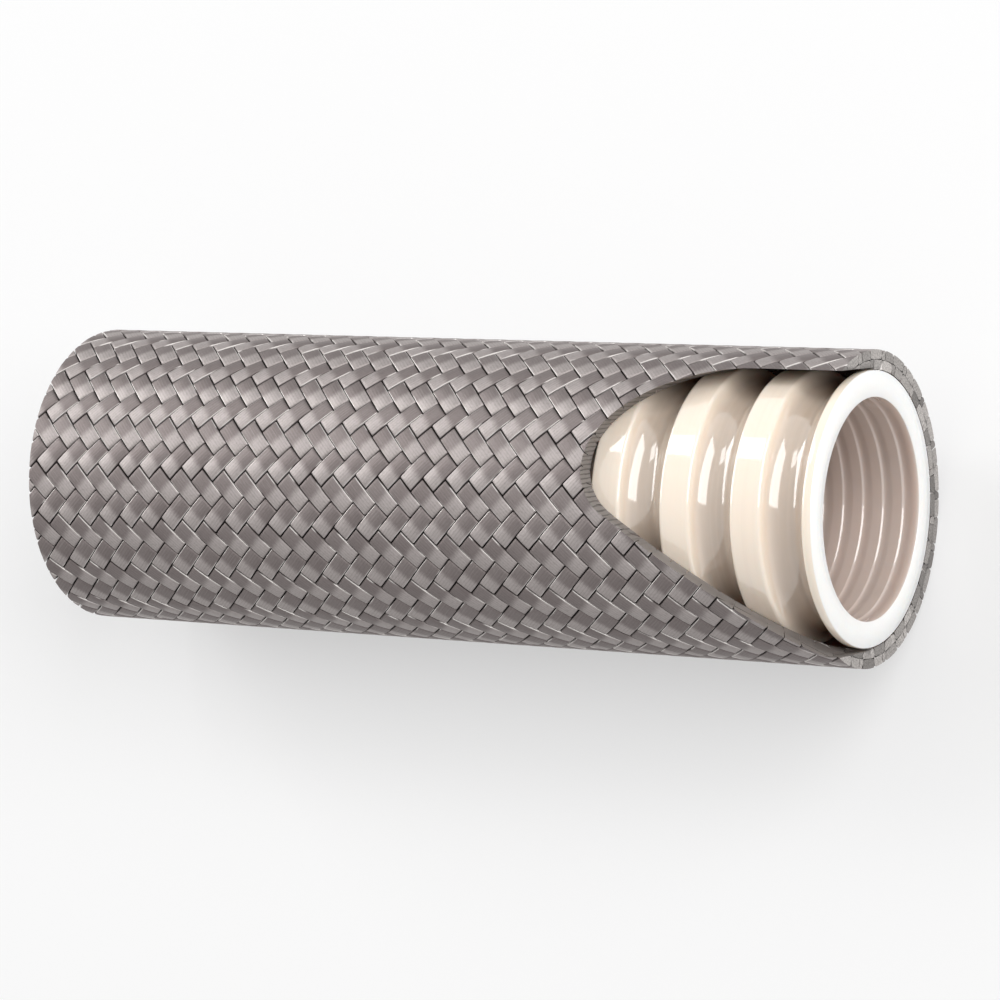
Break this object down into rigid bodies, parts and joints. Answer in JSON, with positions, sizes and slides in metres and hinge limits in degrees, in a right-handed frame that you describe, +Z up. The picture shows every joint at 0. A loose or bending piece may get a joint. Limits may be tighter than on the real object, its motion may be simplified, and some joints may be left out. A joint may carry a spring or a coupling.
{
  "type": "braided ptfe hose",
  "caption": "Cut length of convoluted hose under a woven wire braid, with a window in the braid that shows the liner.",
  "frame": {"origin": "on the surface that the hose lies on, under the middle of its length", "axes": "+X along the hose towards the end with the window, +Z up, and the window faces up, 16 degrees off towards -Y, as the hose comes to rest"},
  "size_m": [0.1048, 0.0362, 0.0361],
  "materials": {
    "ptfe_liner": "smooth glossy cream",
    "wire_braid": "satin warm grey woven wire"
  },
  "bodies": {
    "root": {"ptfe_liner": "ptfe_liner", "wire_braid": "wire_braid"}
  },
  "joints": []
}
